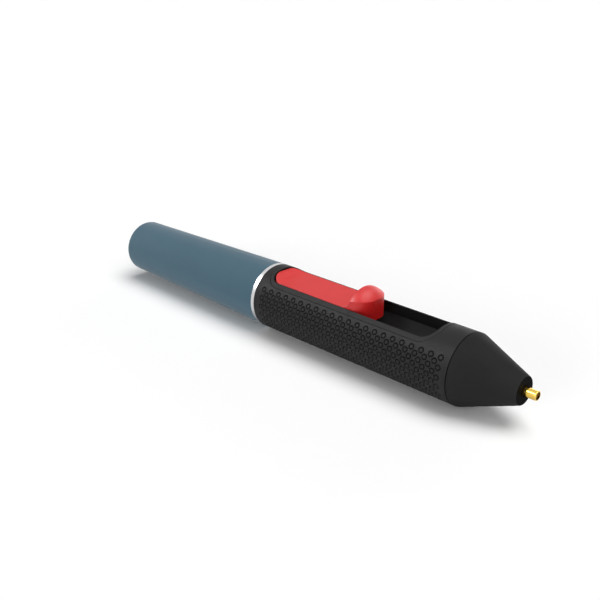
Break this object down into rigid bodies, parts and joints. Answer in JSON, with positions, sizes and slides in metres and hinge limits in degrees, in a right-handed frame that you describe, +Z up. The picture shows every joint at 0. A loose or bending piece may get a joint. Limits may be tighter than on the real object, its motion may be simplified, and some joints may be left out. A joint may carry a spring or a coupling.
{
  "type": "cordless hot-glue pen",
  "caption": "Cordless hot-glue pen: tapered pull-off sleeve, textured grip, thumb slider over an open glue trough, cone nose and brass nozzle.",
  "frame": {"origin": "on the table, under the middle of the pen's length, as it lies on its grip with the slider up", "axes": "+X along the barrel towards the nozzle, +Z up through the thumb slider, +Y to the left seen from the tail"},
  "size_m": [0.1842, 0.0232, 0.0266],
  "materials": {
    "sleeve": "satin",
    "ring": "polished",
    "grip": "satin",
    "pad": "matte",
    "tray": "satin",
    "slider": "satin",
    "pusher": "satin",
    "nose": "satin",
    "nozzle": "polished",
    "bush": "matte",
    "barrel": "satin",
    "heater": "matte",
    "shield": "matte",
    "holder": "matte",
    "sensor": "gloss",
    "carrier": "matte",
    "cell": "satin",
    "contact": "satin",
    "wire": "satin",
    "board": "satin",
    "socket": "satin",
    "switch": "satin",
    "button": "satin",
    "lamp": "gloss",
    "light": "gloss",
    "seal": "matte",
    "screw": "satin"
  },
  "bodies": {
    "pen": {"accent_ring": "ring", "grip_shell": "grip", "grip_pad": "pad", "feed_tray": "tray", "nose_cone": "nose", "nozzle": "nozzle", "inlet_bush": "bush", "melt_barrel": "barrel", "heater_sleeve": "heater", "heat_shield": "shield", "barrel_holder": "holder", "temperature_sensor": "sensor", "battery_carrier": "carrier", "rear_cell": "cell", "front_cell": "cell", "rear_contact": "contact", "front_contact": "contact", "battery_leads": "wire", "heater_leads": "wire", "charge_board": "board", "main_board": "board", "charge_socket": "socket", "tact_switch": "switch", "status_led": "lamp", "light_pipe": "light", "sleeve_seal": "seal", "board_screws": "screw"},
    "slider": {"thumb_slider": "slider", "pusher": "pusher"},
    "button": {"power_button": "button", "switch_plunger": "switch"},
    "sleeve": {"sleeve": "sleeve"}
  },
  "joints": [
    {"name": "slider_feed", "type": "slide", "parent": "pen", "child": "slider", "axis": [1, 0, 0], "range_m": [0, 0.025]},
    {"name": "button_press", "type": "slide", "parent": "pen", "child": "button", "axis": [0, 0, 1], "range_m": [0, 0.0004], "stiffness_N_per_m": 2000, "springref_m": -0.0002},
    {"name": "sleeve_pull", "type": "slide", "parent": "pen", "child": "sleeve", "axis": [-1, 0, 0], "range_m": [0, 0.08]}
  ]
}
